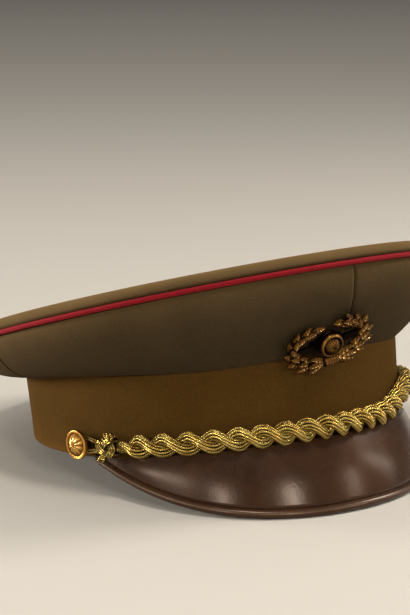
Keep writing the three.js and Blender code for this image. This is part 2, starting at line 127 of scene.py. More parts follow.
def bandPoint(angle, height, out):
    # on the outside of the band at a height, moved outwards
    angle, height, out = np.broadcast_arrays(np.asarray(angle, float), height, out)
    return ovalPoint(band, angle, out + band["flare"] * height / bandTop(angle), height)


def rimPlane(y):
    return rim["height"] + rim["slope"] * (rim["centreY"] - y)


def rimPoint(angle, inwards, rise):
    # beside the piping: in from its middle and up from the sloping plane that it lies in
    angle, inwards, rise = np.broadcast_arrays(np.asarray(angle, float), inwards, rise)
    point = ovalPoint(rim, angle, -inwards, 0)
    point[..., 1] += rim["centreY"]
    point[..., 2] = rimPlane(point[..., 1]) + rise
    return point


# the flat top face is a mount of the part, so it gives the lean and place at rest
topFace = next(m for m in frame["record"]["mounts"] if m["name"] == "crown_top_face")
lean = math.atan2(topFace["axis"][1], topFace["axis"][2]) - math.atan(rim["slope"])
topMiddle = np.array([0, rim["centreY"], rim["height"] + rim["rollHeight"]])
restShift = np.array(topFace["pos_m"]) * 1000 - turnAbout(topMiddle, 0, -lean)


def toRow(points):
    return (turnAbout(np.asarray(points, float), 0, -lean) + restShift) / 1000


# skins: points, faces of four corners, and a map of each corner in millimetres

def distances(line, power=1):
    # how far each point lies along a line
    return np.concatenate([[0], np.cumsum(np.linalg.norm(np.diff(line, axis=0), axis=1) ** power)])


def headings(path, isRing=False):
    if isRing:
        return unit(np.roll(path, -1, axis=0) - np.roll(path, 1, axis=0))
    return unit(np.gradient(path, axis=0))


def thereAndBack(outer, inner):
    # one closed outline from the two sides of a wall
    return np.concatenate([outer, inner[:, ::-1]], axis=1)


def sweep(sections, isRing=False, uv=None):
    # closed sections joined to one skin: a ring, or a length with closed ends
    stations, size = sections.shape[:2]
    if uv is None:  # along in millimetres, and the share of the way round
        middle = sections.mean(1)
        along = distances(np.concatenate([middle, middle[:1]]))
        uv = np.stack(np.meshgrid(along, np.arange(size + 1) / size, indexing="ij"), -1)
    a, b = np.meshgrid(np.arange(stations if isRing else stations - 1), np.arange(size), indexing="ij")
    corners = [(a, b), (a + 1, b), (a + 1, b + 1), (a, b + 1)]
    faces = np.stack([(i % stations) * size + j % size for i, j in corners], -1).reshape(-1, 4)
    maps = np.stack([uv[i % len(uv), j % uv.shape[1]] for i, j in corners], -2).reshape(-1, 4, 2)
    if not isRing:
        near = np.arange(size // 2 - 1)
        far = size - 1 - near
        for station in (0, stations - 1):
            pair = np.stack([near, near + 1, far - 1, far], -1)
            capUv = uv[station, pair]
            if station:
                pair, capUv = pair[:, ::-1], capUv[:, ::-1]
            faces = np.concatenate([faces, station * size + pair])
            maps = np.concatenate([maps, capUv])
    points = sections.reshape(-1, 3)
    p, q, r, s = (points[faces[:, k]] for k in range(4))
    volume = np.sum(p * np.cross(q, r)) + np.sum(p * np.cross(r, s))
    if volume < 0:
        faces, maps = faces[:, ::-1], maps[:, ::-1]
    return points, faces, maps


def tube(path, first, radius, sides, isRing=False):
    # a round skin along a path; first is any direction roughly square to it
    heading = headings(path, isRing)
    first = np.broadcast_to(first, path.shape)
    first = unit(first - heading * np.sum(first * heading, -1, keepdims=True))
    second = np.cross(heading, first)
    turn = circle(sides)[:, None]
    ring = first[:, None] * np.cos(turn) + second[:, None] * np.sin(turn)
    return sweep(path[:, None] + ring * np.reshape(radius, (-1, 1, 1)), isRing)


def turnedSections(profile, sides):
    # a round form about +Z; each profile row is a radius and a height, from axis to axis
    profile = np.array(profile, float)
    turn = circle(sides)
    ring = np.stack([np.cos(turn), np.sin(turn), 0 * turn], -1)
    return profile[None, :, :1] * ring[:, None] + profile[None, :, 1:] * up


def join(skins):
    points, faces, maps = zip(*skins)
    starts = np.cumsum([0] + [len(part) for part in points[:-1]])
    faces = [part + start for part, start in zip(faces, starts)]
    return np.concatenate(points), np.concatenate(faces), np.concatenate(maps)


def addPiece(name, node, part, slot, sharp=45):
    # a part is a skin and a share for each of its points, mostly how proud it stands, which the materials
    # wear or fade by, or use for painted shade in hollows and a painted highlight
    (points, faces, maps), raised = part
    mesh = bpy.data.meshes.new(name)
    mesh.from_pydata(toRow(points).tolist(), [], faces.tolist())
    mesh.uv_layers.new(name="threads").uv.foreach_set("vector", maps.astype(np.float32).ravel())
    if raised is not None:
        mesh.attributes.new("raised", "FLOAT", "POINT").data.foreach_set("value", raised.astype(np.float32))
    mesh.materials.append(finishes[slot])
    mesh.shade_smooth()
    mesh.set_sharp_from_angle(angle=math.radians(sharp))
    piece = bpy.data.objects.new(name, mesh)
    bpy.context.scene.collection.objects.link(piece)
    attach(piece, "root")
    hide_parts(node)
    return piece


def addBundle(name, node, parts, slot):
    skins, raised = zip(*parts)
    return addPiece(name, node, (join(skins), np.concatenate(raised)), slot)


def evenly(skin, raised):
    return skin, np.full(len(skin[0]), raised)


def moved(part, place, *where):
    (points, faces, maps), raised = part
    return (place(points, *where), faces, maps), raised


def weld(piece):
    # rings that meet in one point become one point
    work = bmesh.new()
    work.from_mesh(piece.data)
    bmesh.ops.remove_doubles(work, verts=work.verts, dist=1e-6)
    bmesh.ops.dissolve_degenerate(work, edges=work.edges, dist=1e-7)
    work.to_mesh(piece.data)
    work.free()


# materials

def toLinear(hexColour):
    parts = [int(hexColour[i:i + 2], 16) / 255 for i in (1, 3, 5)]
    return (*[p / 12.92 if p <= 0.04045 else ((p + 0.055) / 1.055) ** 2.4 for p in parts], 1.0)


def setSockets(tree, node, values):
    for socket, value in values.items():
        if isinstance(value, bpy.types.NodeSocket):
            tree.links.new(value, node.inputs[socket])
        else:
            node.inputs[socket].default_value = value


def addNode(tree, kind, inputs, output=0, stops=(), **settings):
    # gives one output of a new node; stops are a ramp's shares and colours, from low to high
    node = tree.nodes.new("ShaderNode" + kind)
    for key, value in settings.items():
        setattr(node, key, value)
    setSockets(tree, node, inputs)
    if stops:
        elements = node.color_ramp.elements
        while len(elements) < len(stops):
            elements.new(0.5)
        for element, (share, hexColour) in zip(elements, stops):
            element.position = share
            element.color = toLinear(hexColour)
    return node.outputs[output]


def newMaterial(name):
    material = bpy.data.materials.new(name)
    material.use_nodes = True
    tree = material.node_tree
    return material, tree, tree.nodes["Principled BSDF"], addNode(tree, "TexCoord", {}, "Object")


def perMetre(millimetres):
    return 1000 / millimetres  # a pattern scale on metres, from a real size


# rib and nap are drawn about twice as coarse as the real 0.45 mm threads, too fine for the render
wool = {
    "ribSpacing": 0.95, "ribShare": 0.28, "napSize": 0.8, "mottleSize": 22, "relief": 0.16,
    "tipFrom": 0.35, "tipShare": 0.45, "leastFade": 0.35, "mostFade": 0.65,
}


def woolCloth(name, colours):
    # fulled wool twill: matt, a little lighter at glancing angles, faint diagonal rib under a brushed nap
    material, tree, shader, place = newMaterial(name)
    threads = addNode(tree, "UVMap", {}, "UV", uv_map="threads")
    raised = addNode(tree, "Attribute", {}, "Fac", attribute_name="raised")
    ribScale = 2 * math.pi / 10 / wool["ribSpacing"]  # diagonal bands lie 2 pi / 10 apart at scale 1
    rib = addNode(tree, "TexWave", {
        "Vector": threads, "Scale": ribScale, "Distortion": 1.2, "Detail": 2, "Detail Scale": 2.5,
    }, "Fac", bands_direction="DIAGONAL")
    nap, mottle = (
        addNode(tree, "TexNoise", {
            "Vector": place, "Scale": perMetre(size), "Detail": detail, "Roughness": roughness,
        }, "Fac") for size, detail, roughness in ((wool["napSize"], 5, 0.7), (wool["mottleSize"], 3, 0.55))
    )
    height = addNode(tree, "Math", {0: rib, 1: wool["ribShare"], 2: nap}, operation="MULTIPLY_ADD")
    stops = (0.3, colours["shade"]), (0.72, colours["body"])
    ground = addNode(tree, "ValToRGB", {"Fac": mottle}, stops=stops)
    tips = addNode(tree, "MapRange", {
        "Value": height, "From Min": wool["tipFrom"], "To Max": wool["tipShare"],
    })
    colour = addNode(tree, "Mix", {0: tips, 6: ground, 7: toLinear(colours["tip"])}, 2, data_type="RGBA")
    # handled and sun-faded along the folded edges; on the roll of the crown's top this lightening is partly
    # painted light
    patchy = addNode(tree, "MapRange", {
        "Value": mottle, "To Min": wool["leastFade"], "To Max": wool["mostFade"],
    })
    fade = addNode(tree, "Math", {0: raised, 1: patchy}, operation="MULTIPLY")
    colour = addNode(tree, "Mix", {0: fade, 6: colour, 7: toLinear(colours["faded"])}, 2, data_type="RGBA")
    bump = addNode(tree, "Bump", {"Height": height, "Strength": 0.55, "Distance": wool["relief"] / 1000})
    setSockets(tree, shader, {
        "Base Color": colour, "Normal": bump, "Roughness": 0.93, "IOR": 1.45, "Specular IOR Level": 0.03,
        "Sheen Weight": 0.16, "Sheen Roughness": 0.5, "Sheen Tint": toLinear(colours["tip"]),
    })
    return material


def pipingCloth():
    # crimson badge cloth pulled over a cord: dense felted nap; the deeper red in its hollows is painted shade
    material, tree, shader, place = newMaterial("crimson felted wool")
    nap = addNode(tree, "TexNoise", {
        "Vector": place, "Scale": perMetre(0.7), "Detail": 5, "Roughness": 0.7,
    }, "Fac")
    # darker red where the nap is low: painted shade
    colour = addNode(tree, "ValToRGB", {"Fac": nap}, stops=((0.3, "#56060f"), (0.75, "#960f1d")))
    bump = addNode(tree, "Bump", {"Height": nap, "Strength": 0.5, "Distance": 0.00014})
    setSockets(tree, shader, {
        "Base Color": colour, "Normal": bump, "Roughness": 0.9, "Specular IOR Level": 0.2,
        "Sheen Weight": 0.08, "Sheen Tint": toLinear("#c02030"),
    })
    return material


def peakLacquer():
    # vulcanised fibre under thick lacquer: deep red-brown, wet gloss, handling haze, a faint orange peel, and
    # a pale line on the bead that is part wear and part painted highlight
    material, tree, shader, place = newMaterial("lacquered vulcanised fibre")
    raised = addNode(tree, "Attribute", {}, "Fac", attribute_name="raised")
    depth, haze, peel = (
        addNode(tree, "TexNoise", {
            "Vector": place, "Scale": perMetre(size), "Detail": detail, "Roughness": roughness,
        }, "Fac") for size, detail, roughness in ((35, 4, 0.6), (14, 6, 0.65), (1.3, 3, 0.5))
    )
    ground = addNode(tree, "ValToRGB", {"Fac": depth}, stops=((0.3, "#29190f"), (0.75, "#40291a")))
    rubAndHighlight = addNode(tree, "Math", {0: raised, 1: haze}, operation="MULTIPLY")  # paler along the bead: rubbed lacquer and a painted highlight line
    colour = addNode(tree, "Mix", {0: rubAndHighlight, 6: ground, 7: toLinear("#a5876c")}, 2, data_type="RGBA")
    rough = addNode(tree, "MapRange", {
        "Value": haze, "From Min": 0.3, "From Max": 0.75, "To Min": 0.2, "To Max": 0.32,
    })
    bump = addNode(tree, "Bump", {"Height": peel, "Strength": 0.55, "Distance": 0.00008})
    setSockets(tree, shader, {
        "Base Color": colour, "Normal": bump, "Roughness": rough, "IOR": 1.45, "Specular IOR Level": 0.35,
        "Specular Tint": toLinear("#ffe6d2"), "Coat Weight": 0.12, "Coat Roughness": 0.2, "Coat IOR": 1.45,
    })
    return material


def gimpThread():
    # gimp: gilt wire wound round a thread core, dull gold; the dark gaps between the windings and the dark
    # hollows between the gimps are painted shade
    material, tree, shader, place = newMaterial("antique gold gimp")
    threads = addNode(tree, "UVMap", {}, "UV", uv_map="threads")
    raised = addNode(tree, "Attribute", {}, "Fac", attribute_name="raised")
    windingPitch = 0.9  # real wire is finer than 0.3 mm; drawn coarse so that the winding shows
    along = addNode(tree, "SeparateXYZ", {"Vector": threads}, "X")
    across = along.node.outputs["Y"]
    turns = addNode(tree, "Math", {0: along, 1: 1 / windingPitch, 2: across}, operation="MULTIPLY_ADD")
    phase = addNode(tree, "Math", {0: turns, 1: 2 * math.pi}, operation="MULTIPLY")
    winding = addNode(tree, "Math", {0: phase}, operation="SINE")
    tarnish = addNode(tree, "TexNoise", {
        "Vector": place, "Scale": perMetre(6), "Detail": 5, "Roughness": 0.65,
    }, "Fac")
    metal = addNode(tree, "ValToRGB", {"Fac": tarnish}, stops=((0.32, "#c69d40"), (0.7, "#ffe484")))
    # painted shade in the grooves between the windings
    gapShade = addNode(tree, "MapRange", {
        "Value": winding, "From Min": -1, "From Max": 0.3, "To Min": 0.85, "To Max": 0,
    })
    # painted shade in the hollows between the gimps, where each turns into its strand
    hollowShade = addNode(tree, "MapRange", {
        "Value": raised, "From Min": 0.2, "From Max": 0.9, "To Min": 1, "To Max": 0,
    })
    paintedShade = addNode(tree, "Math", {0: gapShade, 1: hollowShade}, operation="MAXIMUM")
    # the near-black colour is the painted shade
    colour = addNode(tree, "Mix", {0: paintedShade, 6: metal, 7: toLinear("#1c1305")}, 2, data_type="RGBA")
    bump = addNode(tree, "Bump", {"Height": winding, "Strength": 0.8, "Distance": 0.00014})
    setSockets(tree, shader, {"Base Color": colour, "Normal": bump, "Metallic": 0.9, "Roughness": 0.26})
    return material


def wornMetal(name, metal):
    # stamped brass: clean on what stands proud, dark tarnish left in the hollows
    material, tree, shader, place = newMaterial(name)
    raised = addNode(tree, "Attribute", {}, "Fac", attribute_name="raised")
    patch, grain = (
        addNode(tree, "TexNoise", {
            "Vector": place, "Scale": perMetre(size), "Detail": detail, "Roughness": roughness,
        }, "Fac") for size, detail, roughness in ((metal["patchSize"], 6, 0.65), (0.6, 3, 0.5))
    )
    proud = addNode(tree, "Math", {0: patch, 1: metal["patchShare"], 2: raised}, operation="MULTIPLY_ADD")
    wear = addNode(tree, "MapRange", {
        "Value": proud, "From Min": metal["wearFrom"], "From Max": metal["wearTo"],
    })
    stops = (0, metal["tarnish"]), (0.5, metal["body"]), (1, metal["bright"])
    colour = addNode(tree, "ValToRGB", {"Fac": wear}, stops=stops)
    rough = addNode(tree, "MapRange", {
        "Value": wear, "To Min": metal["roughest"], "To Max": metal["smoothest"],
    })
    bump = addNode(tree, "Bump", {"Height": grain, "Strength": 0.35, "Distance": 0.00005})
    setSockets(tree, shader, {"Base Color": colour, "Normal": bump, "Metallic": 1, "Roughness": rough})
    return material


def matPaint():
    # pale matt painted board, with the faint unevenness of rolled paint
    material, tree, shader, place = newMaterial("pale matt paint")
    roll = addNode(tree, "TexNoise", {"Vector": place, "Scale": perMetre(3), "Detail": 3}, "Fac")
    bump = addNode(tree, "Bump", {"Height": roll, "Strength": 0.15, "Distance": 0.0001})
    setSockets(tree, shader, {
        "Base Color": toLinear("#bfbcb6"), "Normal": bump, "Roughness": 0.75, "Specular IOR Level": 0.25,
    })
    return material


finishes = {  # by the record's material slots
    "crown_cloth": woolCloth("olive brown wool twill", {
        "body": "#30271a", "shade": "#272014", "tip": "#5d4d37", "faded": "#866b43",
    }),
    "band_cloth": woolCloth("russet brown wool twill", {
        "body": "#3e2c12", "shade": "#34250e", "tip": "#725121", "faded": "#85602a",
    }),
    "piping_cloth": pipingCloth(),
    "peak_lacquer": peakLacquer(),
    "gold_cord": gimpThread(),
    "gilt_brass": wornMetal("worn gilt brass", {
        "bright": "#fbd07c", "body": "#c08a3c", "tarnish": "#2c1906", "patchSize": 5, "patchShare": 0.5,
        "wearFrom": 0.32, "wearTo": 1.1, "roughest": 0.5, "smoothest": 0.18,
    }),
    "aged_brass": wornMetal("aged stamped brass", {
        "bright": "#f0c880", "body": "#785226", "tarnish": "#120b05", "patchSize": 4, "patchShare": 0.5,
        "wearFrom": 0.35, "wearTo": 1.3, "roughest": 0.5, "smoothest": 0.16,
    }),
}
print("materials made")


# crown

crown = {
    "cloth": 1.8, "sideSeam": 96, "threadRadius": 100, "rows": 46, "columns": 120, "crowding": 0.85,
    "leaveOut": (9, 13, 10), "leaveUp": (15, -6, -11), "arriveDown": (18, 14, 8),  # front, side, back
    "seamGap": 0.45, "seamDepth": 1.2, "seamWidth": 0.6,  # the cloth dips into each seam
    "edgeDepth": 0.9, "edgeWidth": 1.2, "tuckDown": 0.35, "tuckDepth": 0.2,
    "softness": 0.35, "waves": ((3, 0.6, 0.5), (5, -1.1, 0.3), (9, 2, 0.25)),
    "pucker": 0.16, "puckerLength": 6.5, "puckerReach": 5, "puckerRadius": 110, "puckerDrift": ((7, 0, 2),),
    "edgeFade": 0.55, "fadeReach": 8, "seamFade": 0.28, "seamFadeAt": 1.4, "seamFadeWidth": 0.5,
}


def crowded(count):
    # shares from 0 to 1 that crowd towards both ends, where seams need finer faces
    share = np.linspace(0, 1, count)
    return share - crown["crowding"] * np.sin(2 * np.pi * share) / (2 * np.pi)


def crownQuarter(firstDegrees, lastDegrees):
    inset = crown["seamGap"] / 2 / band["halfWidth"]
    first, last = math.radians(firstDegrees) + inset, math.radians(lastDegrees) - inset
    angle = between(first, last, crowded(crown["columns"]))[:, None]
    share = crowded(crown["rows"])[None, :]
    rest = 1 - share
    start = bandPoint(angle, bandTop(angle) - crown["tuckDown"], 0)
    end = rimPoint(angle, rim["tuck"], -rim["pipingRadius"] - seat)
    across = (end - start) * np.array([1, 1, 0])
    out = np.linalg.norm(across, axis=-1)
    across = unit(across)
    rise = (end - start)[..., 2]
    # cubic curve from the band to the rim, out and up, and its slope
    leave = np.stack([around(crown["leaveOut"], angle), around(crown["leaveUp"], angle)])
    arrive = np.stack([out, rise - around(crown["arriveDown"], angle)])
    finish = np.stack([out, rise])
    place = 3 * rest ** 2 * share * leave + 3 * rest * share ** 2 * arrive + share ** 3 * finish
    slope = 3 * rest ** 2 * leave + 6 * rest * share * (arrive - leave) + 3 * share ** 2 * (finish - arrive)
    slope /= np.linalg.norm(slope, axis=0)
    point = start + across * place[0][..., None] + up * place[1][..., None]
    inward = across * -slope[1][..., None] + up * slope[0][..., None]
    # distances to the edges, along the cloth
    steps = np.linalg.norm(np.diff(point, axis=1), axis=-1)
    rising = np.concatenate([np.zeros((len(angle), 1)), np.cumsum(steps, axis=1)], axis=1)
    falling = rising[:, -1:] - rising
    radius = np.linalg.norm(point[..., :2], axis=-1)
    toLast = (last - angle) * radius
    toSeam = np.minimum((angle - first) * radius, toLast)
    dip = crown["seamDepth"] * hump(toSeam, crown["seamWidth"])
    dip = dip + crown["edgeDepth"] * hump(falling, crown["edgeWidth"])
    dip = dip + crown["tuckDepth"] * hump(rising, crown["edgeWidth"])
    soft = crown["softness"] * waves(crown["waves"], angle) * np.sin(np.pi * share)
    gathers = 2 * np.pi * angle * crown["puckerRadius"] / crown["puckerLength"]
    gathers = np.sin(gathers + waves(crown["puckerDrift"], angle))
    pucker = crown["pucker"] * gathers * np.exp(-falling / crown["puckerReach"])
    outer = point + inward * (dip + soft + pucker)[..., None]
    inner = point + inward * (crown["cloth"] + soft)[..., None]
    threads = np.stack([angle * crown["threadRadius"] + 0 * rising, rising], -1)
    # faded under the piping, and pressed pale along one side of each seam
    fade = crown["edgeFade"] * np.exp(-falling / crown["fadeReach"])
    fade = fade + crown["seamFade"] * hump(toLast - crown["seamFadeAt"], crown["seamFadeWidth"])
    skin = sweep(thereAndBack(outer, inner), uv=thereAndBack(threads, threads))
    return skin, thereAndBack(fade, 0 * fade).ravel()


sideSeam = crown["sideSeam"]
quarters = {
    "front_left": (0, sideSeam), "back_left": (sideSeam, 180),
    "back_right": (-180, -sideSeam), "front_right": (-sideSeam, 0),
}
for quarter, seams in quarters.items():
    addPiece("crown_cloth_" + quarter, "crown_" + quarter, crownQuarter(*seams), "crown_cloth")

panel = {
    "columns": 256, "rollSteps": 18, "rings": 30, "reach": 110,  # about the distance from roll to middle
    "sag": 0.5, "ripple": 0.1, "ripples": 34, "rippleDrift": 3, "rippleReach": 14, "settle": 3,
    "edgeDepth": 0.7, "edgeTurn": 0.12, "crestFadeAndHighlight": 0.3, "crestReach": 3,
    "rollFadeAndLight": 0.9, "rollFadeAndLightFrom": 0.35, "topFade": 0.15, "fadeReach": 11,
}


def panelSide(angle, depth):
    # the panel's outer face, or the one that lies a depth inside it: the roll, then the flat oval
    turn = np.linspace(0, np.pi / 2, panel["rollSteps"])[None, :]
    inwards = rim["tuck"] + rim["rollDepth"] - (rim["rollDepth"] - depth) * np.cos(turn)
    if depth == 0:  # the cloth turns in where it meets the piping
        inwards = inwards + panel["edgeDepth"] * hump(turn, panel["edgeTurn"])
    foot = rim["pipingRadius"] + seat
    roll = rimPoint(angle, inwards, foot + (rim["rollHeight"] - foot - depth) * np.sin(turn))
    share = (1 - np.linspace(0, 1, panel["rings"] + 1)[1:])[None, :]
    middle = np.array([0, rim["centreY"], 0])
    flat = between(middle, roll[:, -1:], share[..., None])
    fromEdge = (1 - share) * panel["reach"]
    ripple = np.sin(panel["ripples"] * angle + np.sin(panel["rippleDrift"] * angle))
    ripple = panel["ripple"] * ripple * np.exp(-fromEdge / panel["rippleReach"])
    sag = panel["sag"] * (1 - share ** 2) * np.sin(np.pi * share) ** 0.5
    settled = 1 - np.exp(-fromEdge / panel["settle"])
    flat[..., 2] = rimPlane(flat[..., 1]) + rim["rollHeight"] - depth + (ripple - sag) * settled
    return np.concatenate([roll, flat], axis=1)


def crownTop():
    angle = circle(panel["columns"])[:, None]
    sections = thereAndBack(panelSide(angle, 0), panelSide(angle, crown["cloth"]))
    # sun-faded all over and lighter up the roll, partly as painted light, with a painted highlight line on
    # the worn crest of the roll
    onRoll = np.sin(np.linspace(panel["rollFadeAndLightFrom"], np.pi / 2, panel["rollSteps"]))
    fromCrest = np.linspace(panel["crestReach"], 0, panel["rollSteps"])
    # a painted highlight line along the worn crest
    onRoll = onRoll + panel["crestFadeAndHighlight"] * hump(fromCrest, 1)
    fromRoll = np.linspace(0, panel["reach"], panel["rings"] + 1)[1:]
    onFlat = between(panel["topFade"], onRoll[-1], np.exp(-fromRoll / panel["fadeReach"]))
    fade = panel["rollFadeAndLight"] * np.concatenate([onRoll, onFlat])
    fade = np.concatenate([fade, 0 * fade])
    return sweep(sections, True, uv=sections[..., :2]), np.tile(fade, len(sections))


weld(addPiece("crown_cloth_top", "crown_top", crownTop(), "crown_cloth"))

pipe = {"columns": 420, "sides": 18, "unevenness": 0.04, "waves": ((37, 0, 1), (61, 1, 1), (97, 2, 1))}


def pipingCord():
    angle = circle(pipe["columns"])
    radius = rim["pipingRadius"] + pipe["unevenness"] * waves(pipe["waves"], angle) / len(pipe["waves"])
    return tube(rimPoint(angle, 0, 0), outward(rim, angle), radius, pipe["sides"], True)


addPiece("piping_cord", "piping", (pipingCord(), None), "piping_cloth")
print("crown sewn")


# band

def bandSkin():
    angle = (np.linspace(-1, 1, band["columns"] + 1) * np.pi)[:, None]  # from the back seam and round to it
    top = bandTop(angle)
    edge = band["edge"]
    bend = np.radians(np.linspace(0, 90, band["edgeRows"]))[None, :]
    rise = np.linspace(0, 1, band["rows"])[None, :]
    # rounded bottom edge, outer face, rounded top edge, then the same inside
    heights = [edge - edge * np.cos(bend), between(edge, top - edge, rise), top - edge + edge * np.sin(bend)]
    outs = [edge * np.sin(bend) - edge, 0 * rise, edge * np.cos(bend) - edge]
    heights = np.concatenate([h + 0 * angle for h in heights], axis=1)
    outs = np.concatenate([o + 0 * angle for o in outs], axis=1)
    toSeam = (np.pi - np.abs(angle)) * band["halfWidth"]
    dip = band["seamDepth"] * hump(toSeam, band["seamWidth"])
    soft = band["softness"] * (np.sin(4 * angle + 0.4) + np.sin(7 * angle + heights / band["waveRise"]))
    face = bandPoint(angle, heights, outs - dip + soft)
    inside = bandPoint(angle, heights, -band["wall"] - outs)
    threads = np.stack([angle * band["threadRadius"] + 0 * heights, heights], -1)
    fade = band["edgeFade"] * np.exp(-heights / band["fadeReach"])
    skin = sweep(thereAndBack(face, inside)[:-1], True, uv=thereAndBack(threads, threads))
    return skin, thereAndBack(fade, 0 * fade)[:-1].ravel()


addPiece("band_cloth", "band", bandSkin(), "band_cloth")
print("band made")


# peak

peak = {
    "corner": 76.4, "reach": 28, "roundness": 2.88, "taper": 1.22, "frontSlope": 63.2, "cornerSlope": 67.3,
    "forward": 0.28, "seamFront": 5.5, "seamCorner": -0.5, "hang": 0.8, "thickness": 2.4, "bulge": 1.2,
    "beadRadius": 2, "beadArc": (128, -150), "beadRows": 34,  # degrees from straight down its face
    "grooveWidth": 0.8, "grooveDepth": 0.6, "grooveRows": 5,
    "rubAndHighlight": 0.42, "rubAndHighlightAt": 88, "rubAndHighlightWidth": 12,  # rubbed lacquer and a painted highlight line along the crest of the bead, in degrees round it
    "threadRadius": 100, "steps": 190, "faceRows": 26, "cornerInset": 0.6, "cadSteps": 30,
}


def peakSkin():
    # the last section lies where the solid's does, a part of one of its steps in from the corner
    ends = math.pi * peak["cornerInset"] / (peak["cadSteps"] + 2 * peak["cornerInset"])
    share = -np.cos(np.linspace(ends, math.pi - ends, peak["steps"]))[:, None]
    angle = math.radians(peak["corner"]) * share
    normal = outward(band, angle)
    reach = peak["reach"] * (1 - np.abs(share) ** peak["roundness"]) ** peak["taper"]
    slope = np.radians(between(peak["frontSlope"], peak["cornerSlope"], share ** 2))
    ahead = unit(normal - np.array([0, peak["forward"], 0]))
    thickness, radius = peak["thickness"], peak["beadRadius"]
    bead = bandPoint(angle, 0, radius + 2 * seat)
    bead[..., 2] -= peak["hang"] + reach * np.sin(slope)
    bead = bead + ahead * (reach * np.cos(slope))[..., None]
    seam = between(peak["seamCorner"], peak["seamFront"], 1 - share ** 2)
    inner = bandPoint(angle, seam, 1.5 * seat + thickness)
    down = bead - inner
    length = np.linalg.norm(down, axis=-1)
    down = unit(down)
    face = unit(np.cross(np.cross(down, normal), down))
    # one section: its face, the groove, the bead and its underside
    groove = length - radius - peak["grooveWidth"]
    part = np.linspace(0, 1, peak["faceRows"])[None, :]
    dip = np.linspace(0, 1, peak["grooveRows"])[None, 1:-1]
    turn = np.radians(np.linspace(*peak["beadArc"], peak["beadRows"]))[None, :]
    swell = peak["bulge"] * np.sin(np.pi * part) * (1 - share ** 2)
    rubAndHighlight = peak["rubAndHighlight"] * hump(np.degrees(turn) - peak["rubAndHighlightAt"], peak["rubAndHighlightWidth"])
    rows = [  # along the face, up from it, and its share of rubbed lacquer and painted highlight
        (groove * part, swell, 0 * part),
        (groove + peak["grooveWidth"] * dip, -peak["grooveDepth"] * np.sin(np.pi * dip), 0 * dip),
        (length + radius * np.cos(turn), radius * np.sin(turn) - thickness / 2, rubAndHighlight),
        (groove * part[:, ::-1], swell[:, ::-1] - thickness, 0 * part),
    ]
    along, rise, rubAndHighlightShare = (np.concatenate([row[k] + 0 * share for row in rows], axis=1) for k in range(3))
    sections = inner + down * along[..., None] + face * rise[..., None]
    threads = np.stack([angle * peak["threadRadius"] + 0 * along, along], -1)
    even = along.shape[1] // 2 * 2  # the closed ends pair up their corners
    return sweep(sections[:, :even], uv=threads[:, :even]), rubAndHighlightShare[:, :even].ravel()


addPiece("peak_lacquered", "peak", peakSkin(), "peak_lacquer", sharp=60)
print("peak made")


# chin cord: two strands, each a bundle of gimps laid side by side round it

cord = {
    "frontHeight": 10.5, "sideHeight": 4.6, "leftRide": 9, "rideUp": (12, 40), "rideDown": (58, 88),
    "halfSpan": 115.2, "endTaper": 0.5, "taperLength": 10, "flatness": 0.74, "frontTurn": 77.5,
    "pitch": 24.5, "leftPitch": 18, "bunchFrom": -80, "bunchEase": 90,  # bunched on the wearer's left
    "strandOffset": 2.85, "strandRadius": 2.8, "intoKnot": 2.5, "stepsPerTurn": 56, "linePoints": 1801,
    "gimps": 9, "gimpRing": 2.17, "gimpRadius": 0.74, "gimpSides": 10,
}
cordDepth = cord["flatness"] * (cord["strandOffset"] + cord["strandRadius"] * math.cos(math.pi / 6))
lineDegrees = np.linspace(-90, 90, cord["linePoints"])
lineRide = eased(lineDegrees, *cord["rideUp"]) - eased(lineDegrees, *cord["rideDown"])
lineHeight = between(cord["sideHeight"], cord["frontHeight"], np.cos(np.radians(lineDegrees)))
lineHeight = lineHeight + cord["leftRide"] * lineRide
cordLine = bandPoint(np.radians(lineDegrees), lineHeight, cordDepth + seat)
cordHeading = headings(cordLine)
cordLength = distances(cordLine)
cordLength -= cordLength[-1] / 2


def cordPlace(distance):
    # on the cord's middle line at a distance from the front: along it, out from the cap, and up
    distance = np.atleast_1d(np.asarray(distance, float))
    middle, along = (
        np.stack([np.interp(distance, cordLength, line[:, k]) for k in range(3)], -1)
        for line in (cordLine, cordHeading)
    )
    along = unit(along)
    out = unit(np.cross(along, up))
    return middle, along, out, np.cross(out, along)


def pressed(points, middle, out, flatness):
    # pushed flat against the band
    depth = np.sum((points - middle) * out, -1, keepdims=True)
    return points + out * depth * (flatness - 1)


def cordTurns(distance):
    # turns of the twist from the front
    past = np.maximum(distance - cord["bunchFrom"], 0)
    ease = cord["bunchEase"]
    bunched = np.where(past < ease, past ** 2 / (2 * ease), past - ease / 2)
    return distance / cord["pitch"] + bunched * (1 / cord["leftPitch"] - 1 / cord["pitch"])


def gimpSkin(path, away, radius, sides, isRing=False):
    # a round gimp, and how far each point turns out of the strand that it lies in, which sets the painted
    # shade in its hollows
    return tube(path, away, radius, sides, isRing), np.tile(np.cos(circle(sides)), len(path))


def cordStrand(frontTurn):
    # the gimps keep their places in the strand, so they run side by side over each crest
    half = cord["halfSpan"] + cord["intoKnot"]
    distance = np.linspace(-half, half, int(2 * half / cord["pitch"] * cord["stepsPerTurn"]))
    turn = (math.radians(frontTurn) + 2 * np.pi * cordTurns(distance))[:, None]
    middle, along, out, rise = cordPlace(distance)
    fromEnd = cord["halfSpan"] - np.abs(distance)
    size = (1 - cord["endTaper"] * (1 - eased(fromEnd, 0, cord["taperLength"])))[:, None]
    centre = (rise * np.cos(turn) + out * np.sin(turn)) * cord["strandOffset"]
    parts = []
    for gimp in range(cord["gimps"]):
        lay = (gimp + 0.5) / cord["gimps"] * 2 * math.pi
        away = rise * math.cos(lay) + out * math.sin(lay)
        path = pressed(middle + (centre + away * cord["gimpRing"]) * size, middle, out, cord["flatness"])
        parts.append(gimpSkin(path, away, cord["gimpRadius"] * size, cord["gimpSides"]))
    return parts


for strand, halfTurn in (("a", 0), ("b", 180)):
    parts = cordStrand(cord["frontTurn"] + halfTurn)
    addBundle("chin_strand_" + strand, "chin_cord_" + strand, parts, "gold_cord")

